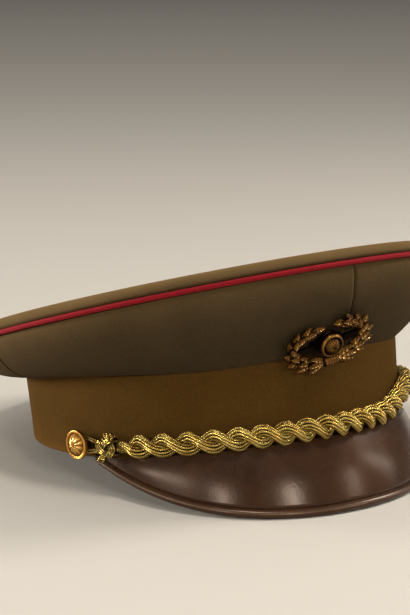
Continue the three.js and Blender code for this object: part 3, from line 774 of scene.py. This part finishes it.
knot = {
    "length": 10.4, "radius": 5.4, "endRadius": 3.2, "flatness": 0.88, "leads": 3, "bights": 4, "reach": 0.84,
    "weave": 0.55, "crossing": 2.5, "steps": 480,  # leads pass over and under at their crossings
    "gimps": 3, "gimpRadius": 0.6, "gimpSides": 8, "winding": 2, "hollowShadeContrast": 1.4, "underShade": 0.3,
    "core": 1.2, "coreLength": 0.9, "coreRows": 11, "coreSides": 16, "coreShadeLevel": 0.25,
}
frayed = {
    "fan": 7, "fanLength": (3.6, 4.8), "tail": 4, "tailLength": (2.6, 3.6),
    "radius": (0.42, 0.52), "opening": 0.25, "steps": 8,  # the winding opens at a cut end
    "rise": 3.4, "along": (1, 3.4), "out": (0.6, 2.4),  # where each springs from, from the knot's middle
    "tilt": (0.1, 0.85), "tiltError": (-0.08, 0.08), "lift": (0, 0.7), "bow": (-0.7, 0.7),
}


def knotPlace(side):
    places = cordPlace(side * (cord["halfSpan"] + seat + knot["length"] / 2))
    middle, along, out, rise = (place[0] for place in places)
    return middle + out * (knot["radius"] * knot["flatness"] - cordDepth), along, out, rise


def ballRadius(across):
    return between(knot["endRadius"], knot["radius"], 1 - across ** 2)


def knotParts(side):
    # a woven ball: its leads pass over and under each other, each of gimps laid side by side
    middle, along, out, rise = knotPlace(side)
    turn = circle(knot["steps"])
    bight = knot["bights"] * turn
    across = knot["reach"] * np.cos(bight)
    layer = np.tanh(knot["crossing"] * np.cos(knot["leads"] * bight) * np.sin(bight))
    radius = ballRadius(across) - knot["gimpRadius"] - knot["weave"] + knot["weave"] * layer
    longitude = (knot["leads"] * turn)[:, None]
    spoke = out * np.cos(longitude) + rise * np.sin(longitude)
    lead = middle + along * (across * knot["length"] / 2)[:, None] + spoke * radius[:, None]
    beside = unit(np.cross(headings(lead, True), spoke))
    parts = []
    for gimp in range(knot["gimps"]):
        path = lead + beside * (gimp - (knot["gimps"] - 1) / 2) * 2 * knot["gimpRadius"]
        # keep each gimp on the ball where its lead lies askew
        offAxis = path - middle - along * ((path - middle) @ along)[:, None]
        path = path + unit(offAxis) * (radius - np.linalg.norm(offAxis, axis=1))[:, None]
        path = pressed(path, middle, out, knot["flatness"])
        (points, faces, maps), high = gimpSkin(path, spoke, knot["gimpRadius"], knot["gimpSides"], True)
        maps = maps * np.array([knot["winding"], 1])  # wound finer than the cord
        sunk = knot["underShade"] * (1 - layer) / 2  # painted shade where it dives under another
        # painted shade in the hollows between gimps, made deeper than on the cord
        high = 1 - knot["hollowShadeContrast"] * (1 - high) - np.repeat(sunk, knot["gimpSides"])
        parts.append(((points, faces, maps), high))
    # the core shows only between the leads, and is darker as painted shade
    core = np.linspace(-1, 1, knot["coreRows"])
    path = middle + along * (core * knot["length"] / 2 * knot["coreLength"])[:, None]
    ball = evenly(tube(path, out, ballRadius(core) - knot["core"], knot["coreSides"]), knot["coreShadeLevel"])
    parts.append(moved(ball, pressed, middle, out, knot["flatness"]))
    return parts + frayedEnds(side)


def frayedEnds(side):
    # cut ends: a fan that springs up on the side of the cord, and a short tail below on the other
    middle, along, out, rise = knotPlace(side)
    t = np.linspace(0, 1, frayed["steps"])[:, None]
    parts = []
    for sign, end in ((1, "fan"), (-1, "tail")):
        count, lengths = frayed[end], frayed[end + "Length"]
        level = along * sign * -side
        for share in np.arange(count) / (count - 1):
            tilt = between(*frayed["tilt"], share) + rng.uniform(*frayed["tiltError"])
            lift = rng.uniform(*frayed["lift"])
            springs = unit(rise * sign * math.cos(tilt) + level * math.sin(tilt) + out * lift)
            root = middle + rise * sign * frayed["rise"] + level * between(*frayed["along"], share)
            root = root + out * rng.uniform(*frayed["out"])
            bow = unit(np.cross(springs, out)) * rng.uniform(*frayed["bow"])
            path = root + springs * rng.uniform(*lengths) * t + bow * t * t
            radius = rng.uniform(*frayed["radius"]) * (1 + frayed["opening"] * t[:, 0])
            skin, high = gimpSkin(path, out, radius, knot["gimpSides"])
            # cut ends are lifted, so that their painted shade stays lighter
            parts.append((skin, 0.5 + 0.5 * high))
    return parts


button = {
    "angle": 81.5, "height": 6.8, "shankRadius": 1.6, "shankLength": 4.2, "radius": 7, "rimHeight": 2.1,
    "backEdge": (0.5, 0.4), "domeHeight": 3.6, "domeRows": 16, "fieldRadius": 5.5, "fieldDrop": 0.45,
    # two raised rings with a groove between them: in from the edge, and down from the rim's top
    "rings": (
        (0, 0.5), (0.15, 0.1), (0.4, 0), (0.65, 0.1), (0.8, 0.45),
        (0.95, 0.4), (1.15, 0.1), (1.35, 0.15), (1.5, 0.5),
    ),
    "petals": 10, "petalDepth": 0.42, "beads": 48, "beadHeight": 0.16, "beadRing": 5.8,
}
loop = {
    "legSpread": 1.8, "legInset": 2.2, "legLead": 1.1, "standOff": 2.3, "bend": 3.3, "bendPoints": 5,
    "gimpRadius": 0.57, "gimpSides": 10, "steps": 90,
}
disc = {"sides": 144, "beadWidth": 0.35, "fieldWear": 0.1, "rimWear": 0.4, "backWear": 0.2}


def smoothRoute(points, count):
    # a curve through the points, with speeds that follow the spacing
    points = np.array(points)
    knots = distances(points, 0.5)
    speed = np.gradient(points, knots, axis=0)
    at = np.linspace(0, knots[-1], count)
    left = np.clip(np.searchsorted(knots, at, side="right") - 1, 0, len(knots) - 2)
    span = (knots[left + 1] - knots[left])[:, None]
    t = (at - knots[left])[:, None] / span
    route = between(points[left], points[left + 1], 3 * t ** 2 - 2 * t ** 3)
    route = route + speed[left] * span * (t ** 3 - 2 * t ** 2 + t)
    return route + speed[left + 1] * span * (t ** 3 - t ** 2)


def loopParts(side):
    # two gimps side by side, from the knot round the button's shank and back
    middle, along, out, rise = knotPlace(side)
    angle = np.array(side * math.radians(button["angle"]))
    normal = outward(band, angle)
    centre = bandPoint(angle, button["height"], loop["standOff"])
    past = np.cross(normal, up) * -side
    face = middle + along * side * (knot["length"] / 2 - loop["legLead"]) - out * loop["legInset"]
    turns = np.radians(np.linspace(0, 180, loop["bendPoints"]))
    route = [centre + (past * math.sin(turn) + up * math.cos(turn)) * loop["bend"] for turn in turns]
    for lead in (2 * loop["legLead"], 0):  # the legs, from the bend back to the knot
        foot = face + along * side * lead
        route.insert(0, foot + rise * loop["legSpread"])
        route.append(foot - rise * loop["legSpread"])
    path = smoothRoute(route, loop["steps"])
    heading = headings(path)
    beside = unit(np.cross(heading, normal))
    facing = np.cross(beside, heading)
    radius = loop["gimpRadius"]
    return [gimpSkin(path + beside * sign * radius, facing, radius, loop["gimpSides"]) for sign in (-1, 1)]


def discProfile(form):
    # radius and height of each row: shank and back, then the rim's rings and a field that swells to a dome
    radius, back = form["radius"], form["shankLength"]
    rimTop = back + form["rimHeight"]
    rows = [(0, 0)]
    if back:
        rows += [(form["shankRadius"], 0), (form["shankRadius"], back)]
    rows += [(radius - form["backEdge"][0], back), (radius, back + form["backEdge"][1])]
    frontRow = len(rows)
    rows += [(radius - inwards, rimTop - down) for inwards, down in form["rings"]]
    for share in np.linspace(1, 0, form["domeRows"])[1:]:
        height = between(rimTop - form["fieldDrop"], back + form["domeHeight"], 1 - share ** 2)
        rows.append((form["fieldRadius"] * share, height))
    return rows, frontRow


def discSkin(form):
    # a turned disc whose rim is beaded and whose field has shallow petals
    profile, frontRow = discProfile(form)
    sections = turnedSections(profile, disc["sides"])
    turn = circle(disc["sides"])[:, None]
    radius = np.linalg.norm(sections[..., :2], axis=-1)
    onFront = np.arange(len(profile))[None, :] >= frontRow
    bead = hump(radius - form["beadRing"], disc["beadWidth"]) * (0.5 + 0.5 * np.cos(form["beads"] * turn))
    petal = np.sin(np.clip(radius / form["fieldRadius"], 0, 1) * np.pi)
    petal = petal * np.abs(np.cos(form["petals"] / 2 * turn))
    lift = onFront * (form["beadHeight"] * bead + form["petalDepth"] * petal)
    sections[..., 2] += lift
    worn = disc["fieldWear"] + lift / (form["beadHeight"] + form["petalDepth"])
    worn = worn + disc["rimWear"] * (radius > form["beadRing"])
    return sweep(sections, True), np.where(onFront, worn, disc["backWear"]).ravel()


def onBand(points, side):
    # local +Z out from the band at the button's place, and local +X up
    angle = np.array(side * math.radians(button["angle"]))
    axis = outward(band, angle)
    beside = unit(up - axis * np.dot(up, axis))
    turned = points @ np.stack([beside, np.cross(axis, beside), axis])
    return bandPoint(angle, button["height"], seat) + turned


for side, word in ((-1, "right"), (1, "left")):
    addBundle("woven_knot_" + word, "knot_" + word, knotParts(side), "gold_cord")
    addBundle("button_loop_" + word, "cord_loop_" + word, loopParts(side), "gold_cord")
    part = moved(discSkin(button), onBand, side)
    weld(addPiece("gilt_button_" + word, "button_" + word, part, "gilt_brass"))
print("chin cord, knots and buttons made")


# badge

badge = {
    "angle": -7, "lean": 24, "turn": 13, "middleOut": 8.6, "middleUp": 4.8, "bend": 80, "halfWidth": 18,
    "halfHeight": 9.2, "firstAngle": -78, "lastAngle": 62,
    "stemRadius": 1.1, "stemSteps": 60, "stemSides": 10,
    "plateRadius": 6.6, "plateThickness": 1.4, "plateEdge": 0.2, "plateSides": 72, "barHeight": 3,
    "tieRadius": 2.4, "tieLength": 7, "tieTurns": 5, "tieGroove": 0.25, "tieSteps": 81, "tieSides": 20,
    "lugRadius": 1.5, "lugSpread": 7, "lugReach": 4.2, "lugSides": 12,
    "stemWear": 0.3, "tieWear": 0.55, "plateWear": 0.1, "barWear": 0.05,
}
leaf = {
    "pairs": 7, "splay": 25, "lift": 8, "overlap": 0.1, "growth": (1.22, 0.88),  # size at the tie and the tip
    "length": 8.6, "width": 4.6, "endInset": 0.02, "widest": 0.85, "fullness": 0.75,
    "thickness": 2.6, "swellInset": 0.03, "edgeRoundness": 0.6, "faceShare": 0.72, "backShare": 0.8,
    "ribHeight": 0.35, "ribWidth": 0.16, "veins": 5, "veinHeight": 0.16, "veinSlant": 0.9,
    "leastWear": 0.15, "faceWear": 0.45, "ribWear": 0.8, "rows": 22, "columns": 11,
    "coverShift": 0.3, "coverRise": 0.9, "coverSize": 0.85, "coverLift": 6,
}
boss = {
    "radius": 5.8, "shankLength": 0, "rimHeight": 2.2, "backEdge": (0.2, 0.3),
    "domeHeight": 4, "domeRows": 18, "fieldRadius": 4.1, "fieldDrop": 0.6,
    "rings": ((0, 0.7), (0.3, 0.2), (0.6, 0), (0.9, 0), (1.2, 0.1), (1.5, 0.35), (1.75, 0.6)),
    "petals": 16, "petalDepth": 0.3, "beads": 36, "beadHeight": 0.3, "beadRing": 4.95,
}


def onCap(points, ahead=0):
    # from the badge's own frame (wearer's left, up, front) to the cap's
    angle = np.array(math.radians(badge["angle"]))
    facing = outward(band, angle)
    turned = turnAbout(points + up * ahead, 2, math.radians(badge["turn"]))
    turned = turnAbout(turned, 0, math.radians(90 + badge["lean"]))
    turned = turnAbout(turned, 2, math.atan2(facing[0], -facing[1]))
    return turned + bandPoint(angle, band["top"][0] + badge["middleUp"], badge["middleOut"])


def leafSkin(foot, heading, size, lift=0):
    # a pointed leaf with a midrib and slanting veins, hollowed a little along each side of the rib
    along = np.linspace(0, 1, leaf["rows"])[:, None]
    across = np.linspace(-1, 1, leaf["columns"])[None, :]
    fromEnds = between(leaf["endInset"], 1 - leaf["endInset"], along)
    halfWidth = leaf["width"] / 2 * np.sin(np.pi * fromEnds ** leaf["widest"]) ** leaf["fullness"]
    swell = np.sqrt(np.sin(np.pi * between(leaf["swellInset"], 1 - leaf["swellInset"], along)))
    body = leaf["thickness"] / 2 * swell * (1 - across ** 2) ** leaf["edgeRoundness"]
    rib = leaf["ribHeight"] * hump(across, leaf["ribWidth"]) * swell
    veins = np.cos(2 * np.pi * (leaf["veins"] * along - leaf["veinSlant"] * np.abs(across)))
    veins = leaf["veinHeight"] * veins * (1 - across ** 2)
    top = leaf["faceShare"] * body + rib + veins * swell
    flat = [halfWidth * across, (along - leaf["overlap"]) * leaf["length"] + 0 * across]
    face = np.stack([*flat, top], -1)
    back = np.stack([*flat, -leaf["backShare"] * body], -1)
    high = leaf["leastWear"] + leaf["faceWear"] * top / (leaf["thickness"] / 2)
    high = high + leaf["ribWear"] * rib + veins
    points, faces, maps = sweep(thereAndBack(face, back))
    points = turnAbout(points * np.array([size, size, 1]), 0, math.radians(leaf["lift"] + lift))
    points = turnAbout(points, 2, heading - math.pi / 2)
    return (points + foot, faces, maps), thereAndBack(high, 0 * body).ravel()


def branchPlace(side, share):
    # foot, heading and size of a leaf along a branch
    turn = math.radians(between(badge["firstAngle"], badge["lastAngle"], share))
    left = side * badge["halfWidth"] * math.cos(turn)
    foot = np.array([left, badge["halfHeight"] * math.sin(turn), -left * left / (2 * badge["bend"])])
    heading = math.atan2(badge["halfHeight"] * math.cos(turn), -side * badge["halfWidth"] * math.sin(turn))
    return foot, heading, between(*leaf["growth"], share)


def branchParts(side):
    parts = [leafSkin(*branchPlace(side, 1))]
    splay = math.radians(leaf["splay"])
    for pair in range(leaf["pairs"]):
        foot, heading, size = branchPlace(side, pair / leaf["pairs"])
        parts += [leafSkin(foot, heading + sign * splay, size) for sign in (-1, 1)]
        # a smaller leaf over each pair hides the stem
        foot, heading, size = branchPlace(side, (pair + leaf["coverShift"]) / leaf["pairs"])
        foot = foot + up * leaf["coverRise"]
        parts.append(leafSkin(foot, heading, leaf["coverSize"] * size, leaf["coverLift"]))
    stem = np.array([branchPlace(side, share)[0] for share in np.linspace(0, 1, badge["stemSteps"])])
    return parts + [evenly(tube(stem, up, badge["stemRadius"], badge["stemSides"]), badge["stemWear"])]


def wreathParts():
    # wound tie where the branches cross
    along = np.linspace(-1, 1, badge["tieSteps"])
    wound = np.abs(np.sin(np.pi * badge["tieTurns"] * (along + 1) / 2))
    sunk = badge["tieGroove"] * (wound - 1)
    path = np.stack([along * badge["tieLength"] / 2, 0 * along - badge["halfHeight"], 0 * along], -1)
    tie = tube(path, up, badge["tieRadius"] + sunk, badge["tieSides"])
    parts = branchParts(1) + branchParts(-1)
    parts.append((tie, np.repeat(sunk + badge["tieWear"], badge["tieSides"])))
    # plate, bar and lugs behind the boss
    half, radius, edge = badge["plateThickness"] / 2, badge["plateRadius"], badge["plateEdge"]
    rows = [(0, -half), (radius - edge, -half), (radius, edge - half)]
    rows += [(r, -height) for r, height in rows[::-1]]
    parts.append(evenly(sweep(turnedSections(rows, badge["plateSides"]), True), badge["plateWear"]))
    square = np.array([[0, -1, -1], [0, 1, -1], [0, 1, 1], [0, -1, 1]]) * [1, badge["barHeight"] / 2, half]
    barEnds = np.array([[end * badge["halfWidth"], 0, -half] for end in (-1, 1)])
    parts.append(evenly(sweep(barEnds[:, None] + square[None]), badge["barWear"]))
    for side in (-1, 1):
        lug = np.array([[side * badge["lugSpread"], 0, z] for z in (-badge["lugReach"], 0)])
        parts.append(evenly(tube(lug, np.array([1.0, 0, 0]), badge["lugRadius"], badge["lugSides"]), 0.0))
    return parts


parts = [moved(part, onCap) for part in wreathParts()]
weld(addBundle("badge_leaves", "badge_wreath", parts, "aged_brass"))
part = moved(discSkin(boss), onCap, badge["plateThickness"] / 2 + seat)
weld(addPiece("badge_domed_boss", "badge_boss", part, "aged_brass"))
print("badge made")


# floor, camera and light, in metres

floorHalf = 7.0
floorMesh = bpy.data.meshes.new("floor")
floorCorners = [(x * floorHalf, y * floorHalf, 0) for x, y in ((-1, -1), (1, -1), (1, 1), (-1, 1))]
floorMesh.from_pydata(floorCorners, [], [(0, 1, 2, 3)])
floorMesh.materials.append(matPaint())
floor = bpy.data.objects.new("floor", floorMesh)
bpy.context.scene.collection.objects.link(floor)

camera = {
    "azimuth": -37, "elevation": 12.35, "distance": 0.95, "target": (0.00418, 0.0096, 0.07082),
    "focalPixels": 1870.6, "framePixels": 615, "sensor": 36,
}
azimuth, elevation = math.radians(camera["azimuth"]), math.radians(camera["elevation"])
level = math.cos(elevation)
back = Vector((math.sin(azimuth) * level, -math.cos(azimuth) * level, math.sin(elevation)))
cameraData = bpy.data.cameras.new("camera")
cameraData.sensor_width = camera["sensor"]
cameraData.lens = camera["focalPixels"] * camera["sensor"] / camera["framePixels"]
cameraObject = bpy.data.objects.new("camera", cameraData)
cameraObject.location = Vector(camera["target"]) + back * camera["distance"]
cameraObject.rotation_mode = "QUATERNION"
cameraObject.rotation_quaternion = (-back).to_track_quat("-Z", "Y")
bpy.context.scene.collection.objects.link(cameraObject)
bpy.context.scene.camera = cameraObject

# name, place, aim, size, roll in degrees and power in watts of each soft box
softBoxes = [
    ("ceiling", (0, 0.3, 4), (0, 0.3, 0), (6, 6), 0, 88),
    ("overhead", (-0.28, -0.4, 1.4), (0, -0.05, 0.05), (0.2, 0.2), 0, 8),
    ("left", (-1.39, -0.07, 0.49), (-0.08, -0.07, 0.02), (0.66, 0.16), 13, 3.6),
    ("leftLow", (-0.96, 1.14, 0.21), (0, 0, 0.06), (0.5, 0.3), 0, 24),
    ("right", (1.16, -0.75, 0.5), (0, -0.11, 0.02), (0.08, 0.62), 45, 1.5),
    ("rightHigh", (0.98, -0.38, 0.92), (0, 0, 0.06), (0.4, 0.4), 0, 12),
    ("rightFront", (0.72, -1.19, 0.54), (0, -0.11, 0.02), (0.2, 0.24), 0, 1.4),
    ("frontNear", (-0.32, -1.35, 0.59), (0, -0.1, 0.02), (0.18, 0.24), 0, 4.4),
    ("frontFar", (-1.17, -0.78, 0.5), (-0.06, -0.09, 0.02), (0.15, 0.14), 0, 2.6),
]
for name, place, aim, size, roll, power in softBoxes:
    data = bpy.data.lights.new(name, "AREA")
    data.shape = "RECTANGLE"
    data.size, data.size_y = size
    data.energy = power
    data.color = toLinear("#fff6ea")[:3]
    light = bpy.data.objects.new(name, data)
    light.location = place
    light.rotation_mode = "QUATERNION"
    facing = (Vector(aim) - Vector(place)).to_track_quat("-Z", "Y")
    light.rotation_quaternion = facing @ Quaternion((0, 0, 1), math.radians(roll))
    bpy.context.scene.collection.objects.link(light)

world = bpy.data.worlds.new("studio")
world.use_nodes = True
background = world.node_tree.nodes["Background"]
setSockets(world.node_tree, background, {"Color": toLinear("#d9d8d4"), "Strength": 0.15})
bpy.context.scene.world = world
bpy.context.scene.view_settings.view_transform = "Standard"
print("stage set")
